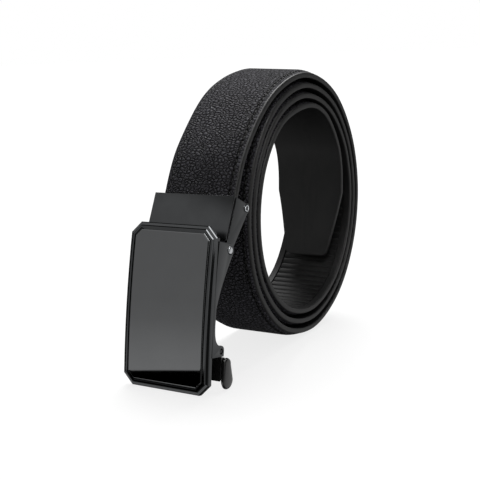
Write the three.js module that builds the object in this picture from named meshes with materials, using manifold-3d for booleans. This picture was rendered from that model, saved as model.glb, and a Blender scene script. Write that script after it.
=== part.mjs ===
// Ratchet belt, coiled and standing: millimetres, X along the strap's width, Y to the rear, +Z up.
import * as THREE from 'three';
import { mergeVertices } from 'three/addons/utils/BufferGeometryUtils.js';
import Module from 'manifold-3d';

const wasm = await Module();
wasm.setup();

const radians = THREE.MathUtils.degToRad;
const fit = 0.3;                  // clearance between neighbouring pieces
const pinFit = 0.15;              // between a pin and its bore

// Strap
const strapWidth = 34;
const strapThick = 3.5;           // in the padded middle
const edgeThick = 2.2;            // at the painted cut edge
const featherWidth = 5;           // border that slopes from the middle to the edge
const edgeRound = 0.4;
const gripLength = 15;            // end held in the clamp
const stationStep = 6.5;          // spacing of the strap's sections
const tipWidth = 21;
const tipLength = 31;
const tipCorner = 2.6;
const strapAside = 0.5;           // towards the lever's side of the clamp

// Coil
const coilRadius = 55;
const mouthAngle = 11.1;          // where the coil leaves the clamp, from the front, degrees
const mouthReach = 1.134;
const angleStep = 30;
const firstAngle = 30;
const lastAngle = 1140;

// One turn: direction in degrees from the front over the top, reach in coil radii, gap in strap thicknesses
const coilTurn = [
  { angle: 0, reach: 1.005, gap: 1.10 },
  { angle: 30, reach: 1.000, gap: 1.12 },
  { angle: 60, reach: 1.024, gap: 1.20 },
  { angle: 90, reach: 1.035, gap: 1.26 },
  { angle: 120, reach: 1.000, gap: 1.20 },
  { angle: 150, reach: 0.947, gap: 1.10 },
  { angle: 180, reach: 0.926, gap: 1.09 },
  { angle: 210, reach: 0.940, gap: 1.09 },
  { angle: 240, reach: 0.996, gap: 1.14 },
  { angle: 270, reach: 1.061, gap: 1.24 },
  { angle: 300, reach: 1.080, gap: 1.24 },
  { angle: 330, reach: 1.050, gap: 1.15 },
];

// How far the outer run stands off its turn on the way out of the clamp, in coil radii
const runOut = [
  { angle: 30, lift: 0.083 },
  { angle: 60, lift: 0.020 },
];

// Lean of the outer run about its near edge, far edge outwards, in degrees, by length from the clamped end
const outerLean = [
  { along: 15, lean: 0 },
  { along: 45, lean: -1 },
  { along: 75, lean: 1 },
  { along: 110, lean: 3.5 },
  { along: 150, lean: 2 },
  { along: 200, lean: 0 },
];

// The free end leaves its turn at the top and hangs down behind
const freeEnd = [
  { angle: 1174, reach: 0.983, gap: 1 },
  { angle: 1191, reach: 0.976, gap: 1 },
  { angle: 1204, reach: 0.944, gap: 1 },
  { angle: 1225, reach: 0.886, gap: 1 },
  { angle: 1239, reach: 0.844, gap: 1 },
  { angle: 1257, reach: 0.802, gap: 1 },
  { angle: 1275, reach: 0.801, gap: 1 },
  { angle: 1291, reach: 0.834, gap: 1 },
  { angle: 1303, reach: 0.890, gap: 1 },
  { angle: 1310, reach: 0.942, gap: 1 },
];

// Ratchet track, set flush into the lining
const trackBorder = 3.5;          // lining left bare on each side
const trackPitch = 3;
const toothCount = 72;
const toothHeight = 0.5;
const trackBase = 0.5;
const toothRise = 0.55;           // of the pitch, where the slope reaches its top
const toothTop = 0.85;            // of the pitch, where the top ends
const trackFromTip = 165;

// Clamp
const clampSideRoom = 0.9;        // beside a centred strap
const clampHeight = 21;           // from the hinge to the mouth
const clampTilt = 27.4;           // from upright, degrees
const clampSheet = 1.1;
const plateBottom = 3.1;          // lower edge of the front plate above the hinge
const seamLip = 0.35;             // front plate's edge ahead of the groove at its sides
const seamWidth = 1;
const seamDepth = 0.5;
const shoulder = 6.6;             // depth of the mouth behind the hinge line
const flapPinRise = 19.2;
const flapPinDepth = 7.2;
const flapPinRadius = 1.4;
const flapPinBore = 0.7;
const flapSheet = 1.2;
const barrelWall = 0.8;
const flapBottom = 5;
const bossRadius = 2.3;
const biteTeeth = 3;
const bitePitch = 1.1;
const biteHeight = 0.5;
const pinProud = 0.4;

// Buckle
const earThick = 0.9;
const buckleHeight = 64.7;
const buckleThick = 2.2;
const buckleCorner = 4.3;
const buckleLean = 11.8;          // from upright, degrees
const restPitch = 0;              // whole belt tipped until coil and buckle both touch, degrees
const buckleBow = 1.3;            // the face stands forward in its middle by this much
const bowSlices = 6;
const edgeBevel = 0.3;
const rimStep = 0.9;              // width of the low outer ring
const rimRise = 0.7;              // the inner ring stands forward of it, behind a sloping face
const rimGroove = 0.4;            // round the panel
const rimWidth = 2.6;             // from the buckle's edge to the panel
const panelThick = 1;
const hingeDepth = 9.6;           // hinge axis behind the front face
const hingeRise = 23.4;           // above the middle of the plate
const hingePinRadius = 1.5;
const hingeHeadDome = 0.6;
const leverPinDepth = 7.4;
const leverPinDrop = 15.5;
const leverPinRadius = 0.7;
const leverHeadRadius = 1;
const waistDepth = 2.15;          // rear edge of the side wall at its narrowest
const waistHigh = 1;              // above the middle of the plate
const waistLow = 5;               // below it
const lowerEarTop = 13.2;
const lowerEarDepth = 9.4;
const lowerEarReach = 2.1;        // wall below the lever's pin

// Release lever
const sleeveWall = 0.5;
const pawlRise = 3.2;             // nose above the pin
const pawlForward = 1.5;          // nose in front of the pin
const noseWidth = 24;
const armHeight = 8.6;
const armFront = 1.6;             // in front of the pin
const armRear = 1.6;              // behind it
const armGap = 0.8;               // below the side wall
const tabThick = 1.9;
const tabTopRadius = 2.4;
const tabBottomRadius = 3.5;
const tabTopDrop = 4.9;
const tabBottomDrop = 11.3;
const tabTopBack = 2.3;           // tab's middle behind the lever's pin
const tabBottomBack = 3.5;

const roundSides = 24;

// Widths that follow from the strap
const trackWidth = strapWidth - 2 * trackBorder;
const clampWidth = strapWidth + 2 * (clampSideRoom + clampSheet);
const buckleWidth = clampWidth + 2 * (fit + earThick);

// Materials
const material = (name, color, roughness, metalness) => {
  const made = new THREE.MeshStandardMaterial({ color, roughness, metalness });
  made.name = name;
  return made;
};
const leather = () => material('pebbled_leather', 0x202023, 0.6, 0);
const rubber = () => material('track_rubber', 0x1b1b1c, 0.65, 0);
const gunmetal = () => material('gunmetal', 0x4a4a4c, 0.3, 1);
const darkMetal = () => material('black_metal', 0x0c0c0d, 0.25, 1);
const brightMetal = () => material('bright_pin', 0x9a9a9c, 0.2, 1);
const blackMirror = () => material('black_mirror', 0x303033, 0.05, 1);

// Solids
function toSolid(geometry) {
  const bare = geometry.index ? geometry.toNonIndexed() : geometry.clone();
  bare.deleteAttribute('normal');
  bare.deleteAttribute('uv');
  const merged = mergeVertices(bare, 1e-4);
  return new wasm.Manifold(new wasm.Mesh({
    numProp: 3,
    vertProperties: new Float32Array(merged.attributes.position.array),
    triVerts: new Uint32Array(merged.index.array),
  }));
}

function toGeometry(solid) {
  const mesh = solid.getMesh();
  const geometry = new THREE.BufferGeometry();
  geometry.setAttribute('position', new THREE.BufferAttribute(mesh.vertProperties, mesh.numProp));
  geometry.setIndex(new THREE.BufferAttribute(mesh.triVerts, 1));
  return geometry;
}

function named(name, geometry, surface) {
  geometry.computeVertexNormals();
  const mesh = new THREE.Mesh(geometry, surface);
  mesh.name = name;
  return mesh;
}

function united(geometries) {
  return geometries.map(toSolid).reduce((sum, next) => sum.add(next));
}

function without(solid, geometries) {
  return geometries.map(toSolid).reduce((rest, next) => rest.subtract(next), solid);
}

// A side profile, drawn as depth and height, pulled along X
function sideways(shape, fromX, toX) {
  const geometry = new THREE.ExtrudeGeometry(shape, {
    depth: toX - fromX,
    bevelEnabled: false,
    curveSegments: 8,
  });
  const turn = new THREE.Matrix4().makeBasis(
    new THREE.Vector3(0, 1, 0),
    new THREE.Vector3(0, 0, 1),
    new THREE.Vector3(1, 0, 0),
  );
  return geometry.applyMatrix4(turn).translate(fromX, 0, 0);
}

// A front view, drawn as X and height, pulled to the rear from its front face
function rearwards(shape, front, depth, bevel) {
  const geometry = new THREE.ExtrudeGeometry(shape, {
    depth: depth - 2 * bevel,
    bevelEnabled: bevel > 0,
    bevelThickness: bevel,
    bevelSize: bevel,
    bevelOffset: -bevel,
    bevelSegments: 1,
  });
  return geometry.rotateX(Math.PI / 2).translate(0, front + depth - bevel, 0);
}

function box(x, y, z) {
  const size = [x, y, z].map(([low, high]) => high - low);
  const middle = [x, y, z].map(([low, high]) => (low + high) / 2);
  return new THREE.BoxGeometry(...size).translate(...middle);
}

function rod(radius, fromX, toX, depth, height) {
  return new THREE.CylinderGeometry(radius, radius, toX - fromX, roundSides)
    .rotateZ(Math.PI / 2)
    .translate((fromX + toX) / 2, depth, height);
}

function polygon(points) {
  return new THREE.Shape(points.map(([a, b]) => new THREE.Vector2(a, b)));
}

// The strap's route: its lining's line seen from the side, from the clamp to the tip
function polar(angle, reach) {
  const turn = radians(angle);
  return new THREE.Vector3(0, -reach * Math.cos(turn), reach * Math.sin(turn));
}

function layerReach(angle, row) {
  return coilRadius * row.reach - strapThick * row.gap * (angle / 360);
}

const clampUp = new THREE.Vector3(0, Math.sin(radians(clampTilt)), Math.cos(radians(clampTilt)));
const liningDepth = strapThick - hingePinRadius;
const mouth = polar(mouthAngle, coilRadius * mouthReach);

function strapRoute() {
  const gripShares = [1, 0.7, 0.4, 0.2, 0];
  const points = gripShares.map((share) => mouth.clone().addScaledVector(clampUp, -gripLength * share));
  for (let angle = firstAngle; angle <= lastAngle; angle += angleStep) {
    const row = coilTurn[Math.round(angle / angleStep) % coilTurn.length];
    const lift = runOut.find((out) => out.angle === angle)?.lift ?? 0;
    points.push(polar(angle, layerReach(angle, row) + coilRadius * lift));
  }
  freeEnd.forEach((row) => points.push(polar(row.angle, layerReach(row.angle, row))));
  const route = new THREE.CatmullRomCurve3(points);
  route.arcLengthDivisions = points.length * 60;
  return route;
}

const route = strapRoute();
const strapLength = route.getLength();
const trackEnd = strapLength - trackFromTip;
const trackStart = trackEnd - toothCount * trackPitch;

function leanAt(along) {
  const next = outerLean.findIndex((row) => row.along > along);
  if (next < 1) {
    return 0;
  }
  const from = outerLean[next - 1];
  const to = outerLean[next];
  const share = THREE.MathUtils.smoothstep(along, from.along, to.along);
  return radians(THREE.MathUtils.lerp(from.lean, to.lean, share));
}

// Bends a flat piece along the route: x across, y along, z out from the lining
function bend(geometry) {
  const place = geometry.attributes.position;
  const nearEdge = strapWidth / 2;
  for (let i = 0; i < place.count; i += 1) {
    const share = THREE.MathUtils.clamp(place.getY(i) / strapLength, 0, 1);
    const heading = route.getTangentAt(share);
    const lean = leanAt(place.getY(i));
    const across = place.getX(i) - nearEdge;
    const out = place.getZ(i) * Math.cos(lean) - across * Math.sin(lean);
    const side = strapAside + nearEdge + place.getZ(i) * Math.sin(lean) + across * Math.cos(lean);
    const point = route.getPointAt(share);
    place.setXYZ(i, side, point.y - heading.z * out, point.z + heading.y * out);
  }
  return geometry;
}

// Turns the faces round after a mirror-image mapping
function flip(geometry) {
  const place = geometry.attributes.position;
  for (let i = 0; i < place.count; i += 3) {
    const second = new THREE.Vector3().fromBufferAttribute(place, i + 1);
    const third = new THREE.Vector3().fromBufferAttribute(place, i + 2);
    place.setXYZ(i + 1, third.x, third.y, third.z);
    place.setXYZ(i + 2, second.x, second.y, second.z);
  }
}

// A section carried through rows along the strap; its points on the floor line take each row's floor
function lay(section, floorLine, rows) {
  const geometry = new THREE.ExtrudeGeometry(polygon(section), {
    depth: rows.length - 1,
    steps: rows.length - 1,
    bevelEnabled: false,
  });
  const place = geometry.attributes.position;
  for (let i = 0; i < place.count; i += 1) {
    const row = rows[Math.round(place.getZ(i))];
    const out = Math.abs(place.getY(i) - floorLine) < 1e-4 ? row.floor : place.getY(i);
    place.setXYZ(i, place.getX(i) * row.width, row.along, out);
  }
  flip(geometry);
  return bend(geometry);
}

// Strap
const channelDepth = fit + trackBase + toothHeight;
const channelWall = 0.2;

function widthShare(along) {
  const left = strapLength - along;
  const taper = THREE.MathUtils.clamp(left / tipLength, 0, 1);
  const half = THREE.MathUtils.lerp(tipWidth, strapWidth, taper) / 2;
  const intoCorner = Math.max(0, tipCorner - left);
  const rounded = half - tipCorner + Math.sqrt(tipCorner ** 2 - intoCorner ** 2);
  return rounded / (strapWidth / 2);
}

function strapRows() {
  const bare = 0;
  const rows = [{ along: 0, width: 1, floor: bare }];
  const reach = (stop, floor) => {
    const from = rows[rows.length - 1].along;
    const steps = Math.max(1, Math.round((stop - from) / stationStep));
    for (let i = 1; i <= steps; i += 1) {
      const along = from + ((stop - from) * i) / steps;
      rows.push({ along, width: widthShare(along), floor });
    }
  };
  reach(trackStart - fit - channelWall, bare);
  reach(trackStart - fit, channelDepth);
  reach(trackEnd + fit, channelDepth);
  reach(trackEnd + fit + channelWall, bare);
  reach(strapLength - tipLength, bare);
  reach(strapLength - tipCorner, bare);
  [0.7, 0.4, 0.15, 0].forEach((share) => reach(strapLength - tipCorner * share, bare));
  return rows;
}

function makeStrap() {
  const half = strapWidth / 2;
  const channelHalf = trackWidth / 2 + fit;
  const right = [
    [channelHalf, 0],
    [half - edgeRound, 0],
    [half, edgeRound],
    [half, edgeThick - edgeRound],
    [half - edgeRound, edgeThick],
    [half - featherWidth / 2, (edgeThick + strapThick) / 2 + edgeRound / 2],
    [half - featherWidth, strapThick],
  ];
  const left = right.map(([x, z]) => [-x, z]).reverse();
  const floor = [[-channelHalf + channelWall, channelDepth], [channelHalf - channelWall, channelDepth]];
  return named('strap', lay([...right, ...left, ...floor], channelDepth, strapRows()), leather());
}

function makeTrack() {
  const half = trackWidth / 2;
  const back = channelDepth - fit;
  const root = back - trackBase;
  const rows = [];
  for (let i = 0; i < toothCount; i += 1) {
    const from = trackStart + i * trackPitch;
    rows.push({ along: from, width: 1, floor: root });
    rows.push({ along: from + trackPitch * toothRise, width: 1, floor: 0 });
    rows.push({ along: from + trackPitch * toothTop, width: 1, floor: 0 });
  }
  rows.push({ along: trackEnd, width: 1, floor: root });
  const section = [[-half, 0], [half, 0], [half, back], [-half, back]];
  return named('ratchet_track', lay(section, 0, rows), rubber());
}

// Clamp, drawn from the hinge axis: depth to the rear, height towards the mouth
const plateFront = liningDepth - strapThick - fit - clampSheet;
const flangeInside = clampWidth / 2 - clampSheet;
const hingeBore = hingePinRadius + pinFit;
const earInside = clampWidth / 2 + fit;

function flangeShape() {
  const shape = new THREE.Shape();
  const hub = hingePinRadius + clampSheet;
  shape.moveTo(plateFront, plateBottom);
  shape.lineTo(plateFront, clampHeight);
  shape.lineTo(shoulder, clampHeight);
  shape.absarc(flapPinDepth, flapPinRise, bossRadius, radians(75), radians(-50), true);
  shape.lineTo(hub * 1.5, plateBottom);
  shape.absarc(0, 0, hub, radians(20), radians(-180), true);
  return shape;
}

function makeClampHousing() {
  const half = clampWidth / 2;
  const plateBack = plateFront + clampSheet;
  const inner = [-flangeInside, flangeInside];
  const far = clampHeight * 2;
  const whole = toSolid(sideways(flangeShape(), -half, half));
  const seams = [-1, 1].map((side) => box(
    side > 0 ? [half - seamDepth, half + 1] : [-half - 1, -half + seamDepth],
    [plateFront + seamLip, plateFront + seamLip + seamWidth],
    [plateBottom - 1, clampHeight + 1],
  ));
  const cut = without(whole, [
    box(inner, [plateBack, far], [-far, far]),
    box(inner, [-far, far], [-far, plateBottom]),
    rod(hingeBore, -half - 1, half + 1, 0, 0),
    rod(flapPinRadius + pinFit, -half - 1, half + 1, flapPinDepth, flapPinRise),
    ...seams,
  ]);
  return named('clamp_housing', toGeometry(cut), gunmetal());
}

function makeClampFlap() {
  const reach = flangeInside - fit;
  const barrel = flapPinRadius + pinFit + barrelWall;
  const jawBack = liningDepth + fit;
  const backLine = (height) => THREE.MathUtils.mapLinear(
    height,
    flapBottom,
    flapPinRise,
    liningDepth + fit + flapSheet,
    flapPinDepth + barrel,
  );
  const points = [
    [backLine(flapBottom), flapBottom],
    [backLine(flapPinRise), flapPinRise],
    [flapPinDepth, flapPinRise + barrel],
    [flapPinDepth - barrel, flapPinRise + barrel * 0.4],
  ];
  for (let i = 0; i < biteTeeth; i += 1) {
    const height = flapPinRise - i * bitePitch;
    points.push([jawBack, height], [jawBack + biteHeight, height - bitePitch]);
  }
  points.push([backLine(flapBottom) - flapSheet, flapBottom]);
  const solid = toSolid(sideways(polygon(points.reverse()), -reach, reach));
  const bore = rod(flapPinRadius + pinFit, -clampWidth, clampWidth, flapPinDepth, flapPinRise);
  const bored = without(solid, [bore]);
  return named('clamp_flap', toGeometry(bored), gunmetal());
}

function makeFlapPin() {
  const half = clampWidth / 2 + pinProud;
  const profile = [
    [flapPinBore, -half],
    [flapPinRadius, -half],
    [flapPinRadius, half],
    [flapPinBore, half],
    [flapPinBore, -half],
  ].map(([r, h]) => new THREE.Vector2(r, h));
  const geometry = new THREE.LatheGeometry(profile, roundSides)
    .rotateZ(-Math.PI / 2)
    .translate(0, flapPinDepth, flapPinRise);
  return named('flap_pin', toGeometry(toSolid(geometry)), brightMetal());
}

function makeHingePin() {
  const half = buckleWidth / 2;
  const dome = 4;
  const profile = [new THREE.Vector2(0, -half - hingeHeadDome)];
  for (let i = 1; i <= dome; i += 1) {
    const turn = (Math.PI / 2) * (i / dome);
    profile.push(new THREE.Vector2(hingePinRadius * Math.sin(turn), -half - hingeHeadDome * Math.cos(turn)));
  }
  const upper = profile.map((p) => new THREE.Vector2(p.x, -p.y)).reverse();
  const geometry = new THREE.LatheGeometry([...profile, ...upper], roundSides).rotateZ(-Math.PI / 2);
  return named('hinge_pin', toGeometry(toSolid(geometry)), brightMetal());
}

// Buckle, drawn from the middle of its front face
function octagon(inset) {
  const x = buckleWidth / 2 - inset;
  const z = buckleHeight / 2 - inset;
  const c = buckleCorner - inset * (2 - Math.SQRT2);
  return polygon([
    [x, z - c], [x - c, z], [c - x, z], [-x, z - c],
    [-x, c - z], [c - x, -z], [x - c, -z], [x, c - z],
  ]);
}

// Parts every triangle that crosses a height, so that the piece can be bowed
function slicedAt(geometry, height) {
  const place = geometry.attributes.position;
  const corners = [];
  for (let i = 0; i < place.count; i += 3) {
    const triangle = [0, 1, 2].map((k) => new THREE.Vector3().fromBufferAttribute(place, i + k));
    const over = triangle.map((corner) => Math.sign(Math.round((corner.z - height) * 1e4)));
    if (!over.includes(1) || !over.includes(-1)) {
      corners.push(...triangle);
      continue;
    }
    const sides = { above: [], below: [] };
    for (let k = 0; k < 3; k += 1) {
      const next = (k + 1) % 3;
      if (over[k] >= 0) {
        sides.above.push(triangle[k]);
      }
      if (over[k] <= 0) {
        sides.below.push(triangle[k]);
      }
      if (over[k] * over[next] < 0) {
        const [low, high] = over[k] < 0 ? [triangle[k], triangle[next]] : [triangle[next], triangle[k]];
        const cut = low.clone().lerp(high, (height - low.z) / (high.z - low.z));
        sides.above.push(cut);
        sides.below.push(cut);
      }
    }
    [sides.above, sides.below].forEach((loop) => {
      for (let k = 2; k < loop.length; k += 1) {
        corners.push(loop[0], loop[k - 1], loop[k]);
      }
    });
  }
  return new THREE.BufferGeometry().setFromPoints(corners);
}

function bowed(flat) {
  let geometry = flat.toNonIndexed();
  for (let i = 1; i < bowSlices; i += 1) {
    geometry = slicedAt(geometry, buckleHeight * (i / bowSlices - 0.5));
  }
  const place = geometry.attributes.position;
  for (let i = 0; i < place.count; i += 1) {
    const height = place.getZ(i) / (buckleHeight / 2);
    place.setY(i, place.getY(i) - buckleBow * (1 - height ** 2));
  }
  return geometry;
}

function wallShape() {
  const shape = new THREE.Shape();
  const root = (buckleThick - buckleBow) / 2;
  const hub = hingePinRadius + clampSheet;
  const earTop = hingeRise + hub;
  const lowBottom = -leverPinDrop - lowerEarReach;
  shape.moveTo(root, lowBottom);
  shape.lineTo(root, earTop + 1);
  shape.lineTo(hingeDepth, earTop);
  shape.absarc(hingeDepth, hingeRise, hub, radians(90), radians(-25), true);
  shape.quadraticCurveTo(hingeDepth * 0.45, hingeRise * 0.42, waistDepth, waistHigh);
  shape.lineTo(waistDepth, -waistLow);
  shape.quadraticCurveTo(waistDepth, -lowerEarTop, lowerEarDepth - hub, -lowerEarTop);
  shape.quadraticCurveTo(lowerEarDepth, -lowerEarTop, lowerEarDepth, -leverPinDrop);
  shape.lineTo(lowerEarDepth, lowBottom);
  return shape;
}

function makeBuckleFrame() {
  const half = buckleWidth / 2;
  const wall = wallShape();
  const flat = united([
    rearwards(octagon(0), 0, buckleThick, edgeBevel),
    rearwards(octagon(rimStep), -rimRise, rimRise + buckleThick / 2, rimRise),
  ]);
  const recessed = without(flat, [
    rearwards(octagon(rimWidth - rimGroove), -rimRise - 1, 1 + rimGroove, 0),
    rearwards(octagon(rimWidth), -rimRise - 1, 1 + panelThick, 0),
  ]);
  const plate = toSolid(bowed(toGeometry(recessed)));
  const blank = plate.add(united([
    sideways(wall, earInside, half),
    sideways(wall, -half, -earInside),
  ]));
  const cut = without(blank, [
    rod(hingeBore, -half - 1, half + 1, hingeDepth, hingeRise),
    rod(leverHeadRadius + pinFit, -half - 1, half + 1, leverPinDepth, -leverPinDrop),
  ]);
  return named('buckle_frame', toGeometry(cut), gunmetal());
}

function makeFacePanel() {
  const panel = rearwards(octagon(rimWidth + fit), -rimRise, panelThick - fit, 0);
  return named('face_panel', bowed(toGeometry(toSolid(panel))), blackMirror());
}

function makeLeverPin() {
  const half = buckleWidth / 2;
  const shaft = rod(leverPinRadius, -half, half, leverPinDepth, -leverPinDrop);
  const nearHead = rod(leverHeadRadius, earInside, half, leverPinDepth, -leverPinDrop);
  const farHead = rod(leverHeadRadius, -half, -earInside, leverPinDepth, -leverPinDrop);
  return named('lever_pin', toGeometry(united([shaft, nearHead, farHead])), gunmetal());
}

// Release lever, drawn from its pin: sleeve and nose across the buckle, side arm and thumb tab
function tabShape() {
  const shape = new THREE.Shape();
  shape.absarc(tabTopBack, -tabTopDrop, tabTopRadius, Math.PI, 0, true);
  shape.absarc(tabBottomBack, -tabBottomDrop, tabBottomRadius, 0, -Math.PI, true);
  return shape;
}

function makeReleaseLever() {
  const sleeve = leverPinRadius + pinFit + sleeveWall;
  const sleeveEnd = earInside - fit;
  const armInside = strapWidth / 2 + fit;
  const tabInside = buckleWidth / 2 + fit;
  const armTop = -lowerEarReach - armGap;
  const armBottom = armTop - armHeight;
  const rearBottom = armTop - armHeight * 0.8;
  const nose = polygon([[sleeve * 0.8, 0], [-pawlForward, pawlRise], [-sleeve, 0], [0, -sleeve * 0.9]]);
  const neck = polygon([[-sleeve, 0], [-armFront, armTop - 1], [armRear, armTop - 1], [sleeve, 0]]);
  const arm = polygon([
    [-armFront, armTop],
    [-armFront, armBottom],
    [armRear, rearBottom],
    [armRear, armTop],
  ]);
  const body = united([
    rod(sleeve, -sleeveEnd, sleeveEnd, 0, 0),
    sideways(nose, -noseWidth / 2, noseWidth / 2),
    sideways(neck, armInside, sleeveEnd),
    sideways(arm, armInside, tabInside + tabThick / 2),
    sideways(tabShape(), tabInside, tabInside + tabThick),
  ]);
  const bored = without(body, [rod(leverPinRadius + pinFit, -buckleWidth, buckleWidth, 0, 0)]);
  return named('release_lever', toGeometry(bored), darkMetal());
}

// Assembly
const belt = new THREE.Group();
belt.add(makeStrap());
belt.add(makeTrack());

const clamp = new THREE.Group();
clamp.rotation.x = -radians(clampTilt);
clamp.position.set(0, -liningDepth, -clampHeight).applyEuler(clamp.rotation).add(mouth);
clamp.add(makeClampHousing());
clamp.add(makeClampFlap());
clamp.add(makeFlapPin());
clamp.add(makeHingePin());
belt.add(clamp);

const buckle = new THREE.Group();
buckle.rotation.x = radians(clampTilt - buckleLean);
const buckleBody = new THREE.Group();
buckleBody.position.set(0, -hingeDepth, -hingeRise);
buckleBody.add(makeBuckleFrame());
buckleBody.add(makeFacePanel());
buckleBody.add(makeLeverPin());
const lever = makeReleaseLever();
lever.position.set(0, leverPinDepth, -leverPinDrop);
buckleBody.add(lever);
buckle.add(buckleBody);
clamp.add(buckle);

// Stood on the ground, centred over the origin
const part = new THREE.Group();
part.add(belt);
belt.rotation.x = radians(restPitch);
part.updateMatrixWorld(true);
const bounds = new THREE.Box3().setFromObject(belt, true);
const centre = bounds.getCenter(new THREE.Vector3());
belt.position.set(-centre.x, -centre.y, -bounds.min.z);

export default part;
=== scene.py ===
# Ratchet belt, coiled and standing on a studio table. Metres; small sizes are written in mm.
import math

import bmesh
import bpy
from mathutils import Matrix, Vector


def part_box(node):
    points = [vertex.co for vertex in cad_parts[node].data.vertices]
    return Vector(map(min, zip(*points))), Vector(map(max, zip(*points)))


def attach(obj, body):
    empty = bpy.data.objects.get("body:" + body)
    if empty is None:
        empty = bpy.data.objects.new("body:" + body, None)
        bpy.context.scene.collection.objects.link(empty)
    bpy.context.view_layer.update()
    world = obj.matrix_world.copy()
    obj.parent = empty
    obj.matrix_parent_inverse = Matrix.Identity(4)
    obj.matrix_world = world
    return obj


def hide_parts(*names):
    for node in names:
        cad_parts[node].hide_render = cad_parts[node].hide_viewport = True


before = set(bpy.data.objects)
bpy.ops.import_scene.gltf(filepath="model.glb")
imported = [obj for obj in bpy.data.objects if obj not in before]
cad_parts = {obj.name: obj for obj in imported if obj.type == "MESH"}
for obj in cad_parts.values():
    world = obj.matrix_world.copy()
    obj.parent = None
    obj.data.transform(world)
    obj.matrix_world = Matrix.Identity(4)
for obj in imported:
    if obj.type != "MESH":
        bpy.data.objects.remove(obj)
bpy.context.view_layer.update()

mm = 0.001
scene = bpy.context.scene


# Helpers for nodes, shared by the finishes and the geometry trees

class Wire:
    # One socket of a node tree; arithmetic on it adds Math nodes
    def __init__(self, tree, socket=None):
        self.tree = tree
        self.socket = socket

    def node(self, kind, settings=None, values=None, output=0):
        made = self.tree.nodes.new(kind)
        for key, setting in (settings or {}).items():
            if key == "stops":
                fillRamp(made.color_ramp, setting)
            else:
                setattr(made, key, setting)
        for key, value in (values or {}).items():
            if isinstance(value, Wire):
                self.tree.links.new(value.socket, made.inputs[key])
            else:
                made.inputs[key].default_value = value
        return Wire(self.tree, made.outputs[output] if made.outputs else None)

    def maths(self, operation, first, second=0.0):
        return self.node("ShaderNodeMath", {"operation": operation}, {0: first, 1: second})

    def vectors(self, operation, first, second, third=None):
        values = {0: first, 3 if operation == "SCALE" else 1: second}
        if third is not None:
            values[2] = third
        return self.node("ShaderNodeVectorMath", {"operation": operation}, values)

    def mixed(self, low, high):
        # self chooses between two colours
        return self.node("ShaderNodeMix", {"data_type": "RGBA"}, {0: self, 6: low, 7: high}, 2)

    def between(self, low, high):
        # Rises smoothly from 0 to 1 as self goes from low to high
        settings = {"interpolation_type": "SMOOTHSTEP"}
        return self.node("ShaderNodeMapRange", settings, {0: self, 1: low, 2: high})

    def __add__(self, other): return self.maths("ADD", self, other)
    def __radd__(self, other): return self.maths("ADD", other, self)
    def __sub__(self, other): return self.maths("SUBTRACT", self, other)
    def __rsub__(self, other): return self.maths("SUBTRACT", other, self)
    def __mul__(self, other): return self.maths("MULTIPLY", self, other)
    def __truediv__(self, other): return self.maths("DIVIDE", self, other)
    def __abs__(self): return self.maths("ABSOLUTE", self)


def fillRamp(ramp, stops):
    while len(ramp.elements) < len(stops):
        ramp.elements.new(1.0)
    for element, (place, colour) in zip(ramp.elements, stops):
        element.position = place
        element.color = colour


def shade(name, build):
    # A material whose build function returns the Principled sockets to fill
    made = bpy.data.materials.new(name)
    made.use_nodes = True
    tree = made.node_tree
    tree.nodes.clear()
    net = Wire(tree)
    surface = net.node("ShaderNodeBsdfPrincipled", None, build(net))
    net.node("ShaderNodeOutputMaterial", None, {"Surface": surface})
    return made


def grey(level, tint=0.0):
    return (level * (1 - tint), level, level * (1 + tint), 1.0)


def uvInMillimetres(net):
    place = net.node("ShaderNodeTexCoord", None, None, 2)
    return net.vectors("SCALE", place, 1000.0)


def placeInMillimetres(net):
    place = net.node("ShaderNodeTexCoord", None, None, 3)
    return net.vectors("SCALE", place, 1000.0)


def noise(net, place, scale, detail=2.0, roughness=0.5, flat=False, colour=False):
    settings = {"noise_dimensions": "2D" if flat else "3D"}
    values = {"Vector": place, "Scale": scale, "Detail": detail, "Roughness": roughness}
    return net.node("ShaderNodeTexNoise", settings, values, 1 if colour else 0)


def bumped(net, height, depth):
    return net.node("ShaderNodeBump", None, {"Height": height, "Distance": depth})


# Finishes

leatherLook = {
    "pebble": 1.5,           # mm across one pebble of the grain
    "smallPebble": 0.9,
    "grainDepth": 0.0011,
    # Painted shade: the dark colour put into the creases, where shade falls
    "paintedCreaseShade": (0.0016, 0.0016, 0.0018),
    # Painted highlight: the lighter bluish colour of the lit pebble tops
    "top": (0.064, 0.0622, 0.074),
    "seamIn": 2.5,           # mm from the edge
    "width": 34.0,
}


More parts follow.
